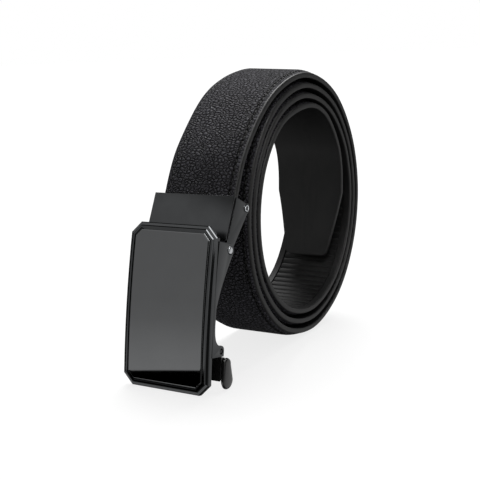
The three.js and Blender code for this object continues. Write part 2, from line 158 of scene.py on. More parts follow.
def leatherGrain(net):
    look = leatherLook
    place = uvInMillimetres(net)
    drift = noise(net, place, 0.4, 2.0, flat=True, colour=True)
    wander = net.vectors("MULTIPLY_ADD", drift, (0.9, 0.9, 0.0), place)
    wide = net.vectors("MULTIPLY", wander, (0.85, 1.12, 1.0))
    cells = {"voronoi_dimensions": "2D", "feature": "DISTANCE_TO_EDGE"}
    large = net.node("ShaderNodeTexVoronoi", cells, {"Vector": wide, "Scale": 1 / look["pebble"]})
    small = net.node("ShaderNodeTexVoronoi", cells, {"Vector": wide, "Scale": 1 / look["smallPebble"]})
    pick = noise(net, place, 0.3, 1.0, flat=True).between(0.48, 0.62)
    domes = large.between(-0.12, 0.42)
    grain = domes * (1 - pick * 0.5) + small.between(-0.12, 0.42) * pick * 0.5
    creases = large.between(0.0, 0.24) * (1 - pick * 0.4) + small.between(0.0, 0.24) * pick * 0.4
    pores = noise(net, place, 4.0, 3.0, 0.6, flat=True)
    across = net.node("ShaderNodeSeparateXYZ", None, {0: place}, 0)
    fromSeam = abs(look["width"] / 2 - look["seamIn"] - abs(across))
    inside = (look["width"] / 2 - abs(across)).between(0.4, look["seamIn"] + 0.6)
    puckers = noise(net, net.vectors("MULTIPLY", place, (1.0, 1.6, 1.0)), 0.32, 1.0, flat=True)
    nearSeam = 1 - fromSeam.between(0.15, 1.3)
    relief = grain * (0.25 + inside * 0.75) + pores * 0.06 + nearSeam * puckers * 0.6
    patches = noise(net, place, 0.06, 2.0, flat=True).between(0.3, 0.7)
    # Painted shade and highlight: the colour falls to the crease colour in the creases and along the seam's
    # groove and rises on the dome tops; the patches vary it at random
    tone = creases * (0.4 + patches * 0.2 + grain * 0.4) * fromSeam.between(0.15, 0.8)
    return {
        "Base Color": tone.mixed((*look["paintedCreaseShade"], 1.0), (*look["top"], 1.0)),
        "Roughness": 0.7 - creases * 0.1 + pores * 0.06,
        "Specular IOR Level": 0.16,
        "Normal": bumped(net, relief, look["grainDepth"]),
    }


def liningGrain(net):
    place = uvInMillimetres(net)
    fine = noise(net, place, 3.2, 4.0, 0.65, flat=True)
    broad = noise(net, place, 0.08, 2.0, 0.5, flat=True)
    return {
        "Base Color": broad.between(0.3, 0.7).mixed(grey(0.0095), grey(0.0125)),
        "Roughness": 0.5 + fine * 0.08,
        "Specular IOR Level": 0.35,
        "Normal": bumped(net, fine, 0.00002),
    }


def paintedEdge(net):
    place = uvInMillimetres(net)
    stretched = net.vectors("MULTIPLY", place, (1.6, 0.12, 1.0))
    runs = noise(net, stretched, 1.0, 3.0, 0.6, flat=True)
    fine = noise(net, place, 1.8, 3.0, 0.6, flat=True)
    return {
        "Base Color": runs.between(0.3, 0.7).mixed(grey(0.008), grey(0.013)),
        "Roughness": 0.48 + fine * 0.12,
        "Specular IOR Level": 0.5,
        "Normal": bumped(net, runs * 0.7 + fine * 0.3, 0.00005),
    }


def trackSurface(net):
    place = placeInMillimetres(net)
    fine = noise(net, place, 2.4, 3.0, 0.6)
    rub = noise(net, place, 0.12, 2.0)
    return {
        "Base Color": rub.between(0.35, 0.7).mixed(grey(0.0065), grey(0.01)),
        "Specular IOR Level": 0.25,
        "Roughness": 0.56 + fine * 0.14,
        "Normal": bumped(net, fine, 0.00004),
    }


def threadTwist(net):
    place = placeInMillimetres(net)
    strands = noise(net, place, 6.0, 2.0, 0.5)
    return {
        "Base Color": strands.between(0.35, 0.65).mixed(grey(0.003), grey(0.01)),
        "Roughness": 0.5 + strands * 0.2,
        "Normal": bumped(net, strands, 0.00006),
    }


def metalFinish(low, high, rough, roughSpread, relief, tint=0.03):
    # Plated metal: cloudy tone, fine rub marks, a faint ripple in the surface
    def build(net):
        place = placeInMillimetres(net)
        cloud = noise(net, place, 0.09, 3.0, 0.55)
        rubbed = net.vectors("MULTIPLY", place, (0.9, 4.5, 0.9))
        marks = noise(net, rubbed, 1.3, 4.0, 0.65)
        return {
            "Base Color": cloud.between(0.3, 0.7).mixed(grey(low, tint), grey(high, tint)),
            "Metallic": 1.0,
            "Roughness": rough + (marks - 0.5) * roughSpread,
            "Normal": bumped(net, marks, relief),
        }
    return build


def lacquer(net):
    place = placeInMillimetres(net)
    cloud = noise(net, place, 0.3, 2.0)
    fine = noise(net, place, 2.0, 3.0, 0.6)
    return {
        "Base Color": cloud.between(0.3, 0.7).mixed(grey(0.006), grey(0.010)),
        "Metallic": 0.0,
        "Roughness": 0.12 + fine * 0.06,
        "Normal": bumped(net, fine, 0.000006),
        "Coat Weight": 0.3,
        "Coat Roughness": 0.08,
    }


finish = {
    "leather": shade("pebbledLeather", leatherGrain),
    "lining": shade("liningLeather", liningGrain),
    "edge": shade("edgePaint", paintedEdge),
    "track": shade("trackRubber", trackSurface),
    "thread": shade("sewingThread", threadTwist),
    "satin": shade("satinGunmetal", metalFinish(0.062, 0.07, 0.3, 0.06, 0.000003)),
    "polished": shade("polishedGunmetal", metalFinish(0.07, 0.08, 0.09, 0.04, 0.000001)),
    "mirror": shade("blackMirror", metalFinish(0.145, 0.15, 0.03, 0.008, 0.0000002, 0.02)),
    "bright": shade("brightPin", metalFinish(0.7, 0.8, 0.2, 0.06, 0.000002)),
    "lacquer": shade("blackLacquer", lacquer),
}
print("finishes made:", len(finish))


# Mesh helpers

def newPiece(name, mesh, materials, body, replaced=()):
    for index, key in enumerate(materials):
        if index < len(mesh.materials):
            mesh.materials[index] = finish[key]
        else:
            mesh.materials.append(finish[key])
    piece = bpy.data.objects.new(name, mesh)
    scene.collection.objects.link(piece)
    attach(piece, body)
    if replaced:
        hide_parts(*replaced)
    return piece


def evaluatedMesh(source):
    # The finished mesh of an object with live modifiers; the object goes
    bpy.context.view_layer.update()
    depsgraph = bpy.context.evaluated_depsgraph_get()
    mesh = bpy.data.meshes.new_from_object(source.evaluated_get(depsgraph), depsgraph=depsgraph)
    bpy.data.objects.remove(source)
    return mesh


def softened(mesh, sharpAngle=32.0, recalculate=True):
    # Smooth shading that breaks at real corners
    work = bmesh.new()
    work.from_mesh(mesh)
    bmesh.ops.remove_doubles(work, verts=work.verts, dist=1e-7)
    if recalculate:
        bmesh.ops.recalc_face_normals(work, faces=work.faces)
    for face in work.faces:
        face.smooth = True
    for edge in work.edges:
        gentle = len(edge.link_faces) == 2 and edge.calc_face_angle(0.0) < math.radians(sharpAngle)
        edge.smooth = edge.smooth and gentle
    work.to_mesh(mesh)
    work.free()
    return mesh


def loftedMesh(name, rings, capped=False, uvs=None, slots=None):
    # Faces between rings of equal count; uvs gives one row and column value for each corner
    count = len(rings[0])
    mesh = bpy.data.meshes.new(name)
    points = [point for ring in rings for point in ring]
    faces = []
    corners = []
    kinds = []
    for i in range(len(rings) - 1):
        here, beyond = i * count, (i + 1) * count
        for j in range(count):
            k = (j + 1) % count
            faces.append((here + j, here + k, beyond + k, beyond + j))
            if uvs:
                rowHere, rowNext = uvs[1][i], uvs[1][i + 1]
                corners += [(uvs[0][j], rowHere), (uvs[0][j + 1], rowHere)]
                corners += [(uvs[0][j + 1], rowNext), (uvs[0][j], rowNext)]
            kinds.append(slots[j] if slots else 0)
    if capped:
        last = (len(rings) - 1) * count
        faces.append(tuple(range(count))[::-1])
        faces.append(tuple(range(last, last + count)))
        for row, turn in ((0, -1), (-1, 1)):
            corners += [(uvs[0][j], uvs[1][row]) for j in range(count)][::turn] if uvs else []
            kinds.append(1 if slots else 0)
    mesh.from_pydata(points, [], faces)
    if uvs:
        layer = mesh.uv_layers.new(name="UVMap")
        layer.uv.foreach_set("vector", [value for corner in corners for value in corner])
    mesh.polygons.foreach_set("material_index", kinds)
    mesh.update()
    return mesh


def joinedMesh(name, meshes):
    work = bmesh.new()
    for mesh in meshes:
        work.from_mesh(mesh)
    joined = bpy.data.meshes.new(name)
    work.to_mesh(joined)
    work.free()
    return joined


def cutSheet(name, outline, holes, fromX, toX, roundOff, place):
    # A side profile of (depth, height) in mm with holes (depth, height, radius), fromX to toX thick,
    # its edges rounded off
    curve = bpy.data.curves.new(name, "CURVE")
    curve.dimensions = "2D"
    curve.fill_mode = "BOTH"
    loops = [outline]
    for depth, height, radius in holes:
        turns = [2 * math.pi * i / 40 for i in range(40)]
        loops.append([(depth + radius * math.cos(t), height + radius * math.sin(t)) for t in turns])
    for loop in loops:
        spline = curve.splines.new("POLY")
        spline.points.add(len(loop) - 1)
        for point, (depth, height) in zip(spline.points, loop):
            point.co = (depth * mm, height * mm, 0.0, 1.0)
        spline.use_cyclic_u = True
    curve.extrude = ((toX - fromX) / 2 - roundOff) * mm
    curve.bevel_depth = roundOff * mm
    curve.bevel_resolution = 2
    curve.offset = -roundOff * mm
    holder = bpy.data.objects.new(name, curve)
    scene.collection.objects.link(holder)
    mesh = evaluatedMesh(holder)
    turn = Matrix(((0, 0, 1, (fromX + toX) / 2 * mm), (1, 0, 0, 0), (0, 1, 0, 0), (0, 0, 0, 1)))
    mesh.transform(place @ turn)
    return softened(mesh)


def blockMesh(name, low, high, roundOff, place):
    # A box in mm with rounded edges
    work = bmesh.new()
    size = [b - a for a, b in zip(low, high)]
    middle = [(a + b) / 2 for a, b in zip(low, high)]
    matrix = Matrix.Translation(middle) @ Matrix.Diagonal((*size, 1.0))
    bmesh.ops.create_cube(work, size=1.0, matrix=matrix)
    bmesh.ops.bevel(work, geom=work.edges[:], offset=roundOff, segments=3, affect="EDGES", profile=0.5)
    bmesh.ops.scale(work, vec=(mm, mm, mm), verts=work.verts)
    mesh = bpy.data.meshes.new(name)
    work.to_mesh(mesh)
    work.free()
    mesh.transform(place)
    return softened(mesh)


def turnedMesh(name, profile, place, sides=48):
    # A profile of (x, radius) in mm turned about the X axis
    rings = []
    for x, radius in profile:
        turns = [2 * math.pi * i / sides for i in range(sides)]
        rings.append([Vector((x, radius * math.cos(t), radius * math.sin(t))) * mm for t in turns])
    mesh = loftedMesh(name, rings, capped=profile[0] != profile[-1])
    mesh.transform(place)
    return softened(mesh)


def smoothstep(value, low, high):
    t = min(max((value - low) / (high - low), 0.0), 1.0)
    return t * t * (3 - 2 * t)


def bezier2(start, pull, end, steps):
    shares = [i / steps for i in range(1, steps + 1)]
    return [tuple((1 - t) ** 2 * a + 2 * t * (1 - t) * b + t * t * c for a, b, c in zip(start, pull, end))
            for t in shares]


def arc(depth, height, radius, fromAngle, toAngle, steps):
    turns = [math.radians(fromAngle + (toAngle - fromAngle) * i / steps) for i in range(steps + 1)]
    return [(depth + radius * math.cos(t), height + radius * math.sin(t)) for t in turns]


# Where the belt lies: the same route as the solids, found from the hinge pin

coil = {
    "radius": 55.0,
    "strapThick": 3.5,
    "mouthAngle": 11.1,
    "mouthReach": 1.134,
    "clampTilt": 27.4,
    "clampHeight": 21.0,
    "gripLength": 15.0,
    "hingeRadius": 1.5,
    "buckleLean": 11.8,
    "aside": 0.5,
    "turn": {
        0: (1.005, 1.10), 30: (1.000, 1.12), 60: (1.024, 1.20), 90: (1.035, 1.26),
        120: (1.000, 1.20), 150: (0.947, 1.10), 180: (0.926, 1.09), 210: (0.940, 1.09),
        240: (0.996, 1.14), 270: (1.061, 1.24), 300: (1.080, 1.24), 330: (1.050, 1.15),
    },
    "lift": {30: 0.083, 60: 0.020},
    "lean": [(15, 0), (45, -1), (75, 1), (110, 3.5), (150, 2), (200, 0)],
    "freeEnd": [
        (1174, 0.983), (1191, 0.976), (1204, 0.944), (1225, 0.886), (1239, 0.844),
        (1257, 0.802), (1275, 0.801), (1291, 0.834), (1303, 0.890), (1310, 0.942),
    ],
}


def polar(angle, reach):
    turn = math.radians(angle)
    return Vector((0.0, -reach * math.cos(turn), reach * math.sin(turn)))


def layerReach(angle, reach, gap):
    return coil["radius"] * reach - coil["strapThick"] * gap * angle / 360


def routePoints():
    tilt = math.radians(coil["clampTilt"])
    up = Vector((0.0, math.sin(tilt), math.cos(tilt)))
    mouth = polar(coil["mouthAngle"], coil["radius"] * coil["mouthReach"])
    points = [mouth - up * coil["gripLength"] * share for share in (1, 0.7, 0.4, 0.2, 0)]
    for angle in range(30, 1141, 30):
        reach = layerReach(angle, *coil["turn"][angle % 360])
        points.append(polar(angle, reach + coil["radius"] * coil["lift"].get(angle, 0.0)))
    points += [polar(angle, layerReach(angle, reach, 1.0)) for angle, reach in coil["freeEnd"]]
    return points, mouth


def splineStep(p0, p1, p2, p3, t):
    # Centripetal Catmull-Rom between p1 and p2
    d0, d1, d2 = (max((b - a).length, 1e-6) ** 0.5 for a, b in ((p0, p1), (p1, p2), (p2, p3)))
    t1 = ((p1 - p0) / d0 - (p2 - p0) / (d0 + d1) + (p2 - p1) / d1) * d1
    t2 = ((p2 - p1) / d1 - (p3 - p1) / (d1 + d2) + (p3 - p2) / d2) * d1
    c2 = -3 * p1 + 3 * p2 - 2 * t1 - t2
    c3 = 2 * p1 - 2 * p2 + t1 + t2
    return p1 + t1 * t + c2 * t * t + c3 * t * t * t


def drawRoute(points, fine=60):
    ends = [points[0] * 2 - points[1]] + points + [points[-1] * 2 - points[-2]]
    line = [points[0]]
    for i in range(len(points) - 1):
        line += [splineStep(*ends[i:i + 4], (k + 1) / fine) for k in range(fine)]
    lengths = [0.0]
    for a, b in zip(line, line[1:]):
        lengths.append(lengths[-1] + (b - a).length)
    return line, lengths


routeGuide, mouthPoint = routePoints()
routeLine, routeLengths = drawRoute(routeGuide)
strapLength = routeLengths[-1]

hingeAxis = sum(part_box("hinge_pin"), Vector()) / 2
flapAxis = sum(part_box("flap_pin"), Vector()) / 2
leverAxis = sum(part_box("lever_pin"), Vector()) / 2
clampTurn = Matrix.Rotation(-math.radians(coil["clampTilt"]), 4, "X")
plateTurn = Matrix.Rotation(-math.radians(coil["buckleLean"]), 4, "X")
clampPlace = Matrix.Translation(hingeAxis) @ clampTurn
liningDepth = coil["strapThick"] - coil["hingeRadius"]
hingeInBelt = mouthPoint + clampTurn.to_3x3() @ Vector((0.0, -liningDepth, -coil["clampHeight"]))
beltOrigin = hingeAxis - hingeInBelt * mm


def routeAt(along):
    along = min(max(along, 0.0), strapLength)
    low, high = 0, len(routeLengths) - 1
    while high - low > 1:
        middle = (low + high) // 2
        if routeLengths[middle] <= along:
            low = middle
        else:
            high = middle
    share = (along - routeLengths[low]) / (routeLengths[high] - routeLengths[low])
    return routeLine[low].lerp(routeLine[high], share)


def headingAt(along):
    a = max(along - 0.25, 0.0)
    b = min(along + 0.25, strapLength)
    return (routeAt(b) - routeAt(a)).normalized()


def leanAt(along):
    rows = coil["lean"]
    for (a, leanA), (b, leanB) in zip(rows, rows[1:]):
        if a <= along < b:
            return math.radians(leanA + (leanB - leanA) * smoothstep(along, a, b))
    return 0.0


def onStrap(x, along, out):
    # x across, along the strap, out from its lining, in mm; the place in metres
    nearEdge = strap["width"] / 2
    lean = leanAt(along)
    across = x - nearEdge
    rise = out * math.cos(lean) - across * math.sin(lean)
    side = coil["aside"] + nearEdge + out * math.sin(lean) + across * math.cos(lean)
    point = routeAt(along)
    heading = headingAt(along)
    return beltOrigin + Vector((side, point.y - heading.z * rise, point.z + heading.y * rise)) * mm


# Strap

strap = {
    "width": 34.0,
    "thick": 3.5,
    "edgeThick": 2.2,
    "feather": 5.0,          # sloping border
    "edgeRound": 0.75,
    "liningRound": 0.45,
    "stitchIn": 2.5,         # seam line from the edge
    "stitchDip": 0.42,       # depth of the seam's groove
    "stitchSpread": 0.42,    # its half width
    "station": 2.0,          # length between sections
    "tipWidth": 21.0,
    "tipLength": 31.0,
    "tipCorner": 2.6,
    "tipRound": 0.8,
}
track = {
    "width": 27.0,
    "pitch": 3.0,
    "teeth": 72,
    "fromTip": 165.0,
    "base": 0.5,
    "tooth": 0.5,
    "clearance": 0.3,
}
track["end"] = strapLength - track["fromTip"]
track["start"] = track["end"] - track["teeth"] * track["pitch"]
channelDepth = track["clearance"] + track["base"] + track["tooth"]


def outerHeight(x):
    half = strap["width"] / 2
    fall = min(max((abs(x) - half + strap["feather"]) / (strap["feather"] - 0.4), 0.0), 1.0)
    height = strap["thick"] - (strap["thick"] - strap["edgeThick"]) * fall ** 1.5
    seam = (abs(x) - half + strap["stitchIn"]) / strap["stitchSpread"]
    return height - strap["stitchDip"] * math.exp(-seam * seam)


def strapSection():
    # Right half from the middle of the outer face round to the channel, as (x, out, kind)
    half = strap["width"] / 2
    over = strap["edgeRound"]
    under = strap["liningRound"]
    outer = [0, 2, 4, 6, 8, 10, 11.3, 12.2, 12.9, 13.4, 13.8, 14.05, 14.25,
             14.4, 14.5, 14.6, 14.75, 14.95, 15.2, 15.6, half - over]
    section = [(x, outerHeight(x), 0) for x in outer]
    top = section[-1][1]
    for i in range(1, 6):
        turn = math.radians(90 - 18 * i)
        section.append((half - over + over * math.cos(turn), top - over + over * math.sin(turn), 1))
    section.append((half, (top - over + under) / 2, 1))
    for i in range(0, 5):
        turn = math.radians(-22.5 * i)
        section.append((half - under + under * math.cos(turn), under + under * math.sin(turn), 1))
    wall = track["width"] / 2 + track["clearance"]
    section += [(wall + 1.4, 0.0, 2), (wall, 0.0, 2), (wall - 0.2, "floor", 2), (6.0, "floor", 2)]
    return section


def widthShare(left):
    taper = min(max(left / strap["tipLength"], 0.0), 1.0)
    half = (strap["tipWidth"] + (strap["width"] - strap["tipWidth"]) * taper) / 2
    corner = strap["tipCorner"]
    into = max(0.0, corner - left)
    return (half - corner + math.sqrt(max(corner ** 2 - into ** 2, 0.0))) / (strap["width"] / 2)


def strapStations():
    stops = [0.0, track["start"] - 0.5, track["start"] - 0.3, track["end"] + 0.3, track["end"] + 0.5]
    stops += [strapLength - strap["tipLength"], strapLength - strap["tipCorner"]]
    rows = [0.0]
    for a, b in zip(stops, stops[1:]):
        steps = max(1, round((b - a) / strap["station"]))
        rows += [a + (b - a) * (i + 1) / steps for i in range(steps)]
    rows += [strapLength - strap["tipCorner"] * share for share in (0.8, 0.6, 0.45, 0.3, 0.2, 0.12, 0.05, 0.0)]
    return rows


def makeStrap():
    right = strapSection()
    left = [(-x, out, kind) for x, out, kind in right[1:]][::-1]
    section = right + left
    perimeter = [0.0]
    flat = [(x, channelDepth if out == "floor" else out) for x, out, _ in section]
    for a, b in zip(flat, flat[1:] + flat[:1]):
        perimeter.append(perimeter[-1] + math.dist(a, b))
    around = perimeter[-1]
    across = [(p if p < around / 2 else p - around) * mm for p in perimeter]
    count = len(section)
    kinds = []
    for j in range(count):
        a, b = section[j][2], section[(j + 1) % count][2]
        kinds.append(max(a, b) if {a, b} != {1, 2} else 2)
    rows = strapStations()
    rings = []
    for along in rows:
        left = strapLength - along
        share = widthShare(left)
        rounding = max(0.0, strap["tipRound"] - left) / strap["tipRound"]
        squash = 0.35 + 0.65 * math.sqrt(1 - rounding ** 2)
        inTrack = track["start"] - 0.31 < along < track["end"] + 0.31
        floor = channelDepth if inTrack else 0.0
        ring = []
        for x, out, _ in section:
            height = floor if out == "floor" else out
            middle = strap["edgeThick"] / 2
            ring.append(onStrap(x * share, along, middle + (height - middle) * squash))
        rings.append(ring)
    mesh = loftedMesh("strapLeather", rings, capped=True, uvs=(across, [row * mm for row in rows]), slots=kinds)
    mesh = softened(mesh, 50.0, False)
    return newPiece("strapLeather", mesh, ("leather", "edge", "lining"), "strap_and_clamp",
                    ("strap",))


strapLeather = makeStrap()
print("strap laid:", round(strapLength), "mm,", len(strapLeather.data.polygons), "faces")


# Seams and track, repeated by geometry nodes

def guideLine(name, x, fromAlong, toAlong, out, step=1.5):
    # A line of points on the strap, each with the strap's outward direction
    steps = max(2, round((toAlong - fromAlong) / step))
    rows = [fromAlong + (toAlong - fromAlong) * i / steps for i in range(steps + 1)]
    points = []
    outward = []
    for along in rows:
        share = widthShare(strapLength - along)
        height = out(x) if callable(out) else out
        here = x
        if share < 0.999:   # where the tip narrows, the seam keeps its distance from the edge
            here = math.copysign(abs(x) - strap["width"] / 2 * (1 - share), x)
        points.append(onStrap(here, along, height))
        outward.append((onStrap(here, along, height + 1) - points[-1]).normalized())
    mesh = bpy.data.meshes.new(name)
    mesh.from_pydata(points, [(i, i + 1) for i in range(len(points) - 1)], [])
    layer = mesh.attributes.new("outward", "FLOAT_VECTOR", "POINT")
    layer.data.foreach_set("vector", [value for vector in outward for value in vector])
    return mesh


def repeatTree(name, inputs, item, material):
    # Resamples the guide line at the pitch and stands one item on each point
    tree = bpy.data.node_groups.new(name, "GeometryNodeTree")
    tree.interface.new_socket("Geometry", in_out="INPUT", socket_type="NodeSocketGeometry")
    for label, value in inputs.items():
        socket = tree.interface.new_socket(label, in_out="INPUT", socket_type="NodeSocketFloat")
        socket.default_value = value
    tree.interface.new_socket("Geometry", in_out="OUTPUT", socket_type="NodeSocketGeometry")
    net = Wire(tree)
    source = tree.nodes.new("NodeGroupInput")
    given = {socket.name: Wire(tree, socket) for socket in source.outputs if socket.name}
    line = net.node("GeometryNodeMeshToCurve", None, {0: given["Geometry"]})
    lengths = {"Curve": line, "Length": given["Pitch"]}
    spread = net.node("GeometryNodeResampleCurve", {"mode": "LENGTH"}, lengths)
    outward = net.node("GeometryNodeInputNamedAttribute", {"data_type": "FLOAT_VECTOR"}, {"Name": "outward"})
    heading = net.node("GeometryNodeInputTangent")
    facing = net.node("FunctionNodeAlignRotationToVector", {"axis": "Z"}, {"Vector": outward})
    turned = net.node("FunctionNodeAlignRotationToVector", {"axis": "Y", "pivot_axis": "Z"},
                      {"Rotation": facing, "Vector": heading})
    shape = item(net, given)
    placed = {"Points": spread, "Instance": shape, "Rotation": turned}
    stood = net.node("GeometryNodeInstanceOnPoints", None, placed)
    real = net.node("GeometryNodeRealizeInstances", None, {0: stood})
    dressed = net.node("GeometryNodeSetMaterial", None, {"Geometry": real, "Material": material})
    net.node("NodeGroupOutput", None, {0: dressed})
    return tree


def repeated(name, guide, tree, values):
    # Runs the tree on the guide line with these input values and keeps the plain mesh
    holder = bpy.data.objects.new(name, guide)
    scene.collection.objects.link(holder)
    modifier = holder.modifiers.new(name, "NODES")
    modifier.node_group = tree
    for item in tree.interface.items_tree:
        if item.in_out == "INPUT" and item.name in values:
            modifier[item.identifier] = values[item.name]
    return evaluatedMesh(holder)


def stitchItem(net, given):
    # A short plump bead of thread, drawn out along the seam
    bead = net.node("GeometryNodeMeshUVSphere", None, {"Segments": 8, "Rings": 6, "Radius": 1.0})
    size = net.node("ShaderNodeCombineXYZ", None,
                    {0: given["Thread"], 1: given["Stitch"] / 2, 2: given["Thread"] * 0.9})
    return net.node("GeometryNodeTransform", None, {"Geometry": bead, "Scale": size})


def ribItem(net, given):
    # A low round-topped bar across the track
    bar = net.node("GeometryNodeMeshCylinder", None,
                   {"Vertices": 12, "Side Segments": 1, "Radius": 1.0, "Depth": 1.0})
    laid = net.node("GeometryNodeTransform", None,
                    {"Geometry": bar, "Rotation": (0.0, math.pi / 2, 0.0)})
    size = net.node("ShaderNodeCombineXYZ", None,
                    {0: given["Width"], 1: given["Pitch"] * 0.44, 2: given["Height"]})
    return net.node("GeometryNodeTransform", None, {"Geometry": laid, "Scale": size})


seam = {"Pitch": 2.7 * mm, "Stitch": 1.95 * mm, "Thread": 0.3 * mm}
ribs = {"Pitch": 3.0 * mm, "Width": 26.6 * mm, "Height": 0.3 * mm}


def stitchHeight(x):
    return outerHeight(x) + 0.1


def makeSeams():
    tree = repeatTree("edgeSeam", seam, stitchItem, finish["thread"])
    side = strap["width"] / 2 - strap["stitchIn"]
    meshes = []
    for name, x in (("nearSeam", side), ("farSeam", -side)):
        guide = guideLine(name, x, 3.0, strapLength - 4.5, stitchHeight)
        meshes.append(repeated(name, guide, tree, seam))
    mesh = softened(joinedMesh("edgeStitches", meshes), 80.0, False)
    return newPiece("edgeStitches", mesh, ("thread",), "strap_and_clamp")


def makeTrack():
    half = track["width"] / 2
    back = channelDepth - track["clearance"]
    root = back - track["base"]
    section = [(-half, root + 0.1), (-half + 0.1, root), (half - 0.1, root), (half, root + 0.1),
               (half, back), (-half, back)]
    rings = []
    steps = track["teeth"] * 2
    for i in range(steps + 1):
        along = track["start"] + (track["end"] - track["start"]) * i / steps
        rings.append([onStrap(x, along, out) for x, out in section])
    base = softened(loftedMesh("trackBase", rings, capped=True), 50.0)
    newPiece("trackBase", base, ("track",), "strap_and_clamp", ("ratchet_track",))
    tree = repeatTree("trackRibs", ribs, ribItem, finish["track"])
    guide = guideLine("trackLine", 0.0, track["start"] + 1.5, track["end"] - 1.5, root)
    mesh = softened(repeated("trackRibs", guide, tree, ribs), 50.0, False)
    newPiece("trackRibs", mesh, ("track",), "strap_and_clamp")


edgeStitches = makeSeams()
makeTrack()
print("seams sewn:", len(edgeStitches.data.polygons), "faces; track laid")


# Clamp: front plate, side flanges, flap and pins, drawn from the hinge axis

clamp = {
    "width": 38.0,
    "sheet": 1.1,
    "height": 21.0,
    "plateBottom": 3.1,
    "shoulder": 6.6,
    "lip": 0.35,             # front plate seen beyond the flanges' recess
    "recess": 1.55,          # dark gap between plate and flange
    "recessDepth": 0.5,
    "pinRise": 19.2,
    "pinDepth": 7.2,
    "pinRadius": 1.4,
    "pinBore": 0.8,
    "pinPlay": 0.15,         # room round a pin in its holes
    "boss": 2.3,
    "round": 0.12,
    "flapSheet": 1.2,
    "flapBottom": 5.0,
}
plateFront = liningDepth - strap["thick"] - 0.3 - clamp["sheet"]
hub = coil["hingeRadius"] + clamp["sheet"]


def makeClamp():
    half = clamp["width"] / 2
    top = clamp["height"]
    bottom = clamp["plateBottom"]
    inner = half - clamp["sheet"]
    back = plateFront + clamp["sheet"]
    flangeFront = plateFront + clamp["recess"]
    outline = [(flangeFront, bottom), (flangeFront, top), (clamp["shoulder"], top)]
    outline += arc(clamp["pinDepth"], clamp["pinRise"], clamp["boss"], 75, -50, 16)
    outline += [(hub * 1.5, bottom)] + arc(0, 0, hub, 20, -180, 24)
    holes = [(0, 0, coil["hingeRadius"] + clamp["pinPlay"]),
             (clamp["pinDepth"], clamp["pinRise"], clamp["pinRadius"] + clamp["pinPlay"])]
    plate = blockMesh("clampPlate", (-half, plateFront, bottom), (half, plateFront + clamp["lip"], top),
                      clamp["round"], clampPlace)
    liner = blockMesh("clampCore", (-half + clamp["recessDepth"], plateFront + 0.15, bottom + 0.1),
                      (half - clamp["recessDepth"], back, top - 0.02), 0.08, clampPlace)
    sides = [cutSheet("clampFlange", outline, holes, low, high, clamp["round"], clampPlace)
             for low, high in ((inner, half), (-half, -inner))]
    mesh = joinedMesh("clampHousing", [plate, liner, *sides])
    newPiece("clampHousing", mesh, ("satin",), "strap_and_clamp", ("clamp_housing",))
    # Painted shade: black blocks set into the recess between the plate and each flange, so the gap shows as
    # dark as shade
    shadeBlocks = [blockMesh("paintedShadeBlock", (low, plateFront + clamp["lip"] + 0.02, bottom + 0.15),
                      (high, flangeFront + 0.1, top - 0.1), 0.05, clampPlace)
            for low, high in ((inner, half - clamp["recessDepth"] + 0.03),
                              (-half + clamp["recessDepth"] - 0.03, -inner))]
    newPiece("paintedShadeBlocks", joinedMesh("paintedShadeBlocks", shadeBlocks), ("lacquer",), "strap_and_clamp")


def makeFlap():
    bore = clamp["pinRadius"] + clamp["pinPlay"]
    barrel = bore + 0.8
    jaw = liningDepth + 0.3
    low = (jaw + clamp["flapSheet"], clamp["flapBottom"])
    outline = [low, (clamp["pinDepth"] + barrel * 0.94, clamp["pinRise"] - barrel * 0.34)]
    outline += arc(clamp["pinDepth"], clamp["pinRise"], barrel, 0, 150, 14)
    for i in range(3):
        outline += [(jaw, clamp["pinRise"] - 1.1 * i), (jaw + 0.5, clamp["pinRise"] - 1.1 * (i + 1))]
    outline.append((low[0] - clamp["flapSheet"], low[1]))
    hole = [(clamp["pinDepth"], clamp["pinRise"], bore)]
    reach = clamp["width"] / 2 - clamp["sheet"] - 0.3
    mesh = cutSheet("clampFlap", outline, hole, -reach, reach, 0.1, clampPlace)
    newPiece("clampFlap", mesh, ("satin",), "flap", ("clamp_flap",))


def makePins():
    half = clamp["width"] / 2 + 0.4
    bore, radius = clamp["pinBore"], clamp["pinRadius"]
    tube = [(-half + 0.15, bore), (-half, bore + 0.15), (-half, radius - 0.15), (-half + 0.15, radius)]
    tube += [(-x, r) for x, r in tube[::-1]] + [tube[0]]
    mesh = turnedMesh("flapPin", tube, Matrix.Translation(flapAxis))
    newPiece("flapPin", mesh, ("bright",), "strap_and_clamp", ("flap_pin",))
    reach = buckle["width"] / 2
    turns = [math.radians(7.5 * i) for i in range(13)]
    head = [(reach + 0.6 * math.cos(t), coil["hingeRadius"] * math.sin(t)) for t in turns]
    head[0] = (head[0][0], 0.02)
    profile = [(-x, r) for x, r in head] + head[::-1]
    mesh = turnedMesh("hingePin", profile, Matrix.Translation(hingeAxis))
    newPiece("hingePin", mesh, ("bright",), "strap_and_clamp", ("hinge_pin",))


# Buckle: bowed plate with a stepped rim, side walls, mirror, lever; drawn from the plate's middle

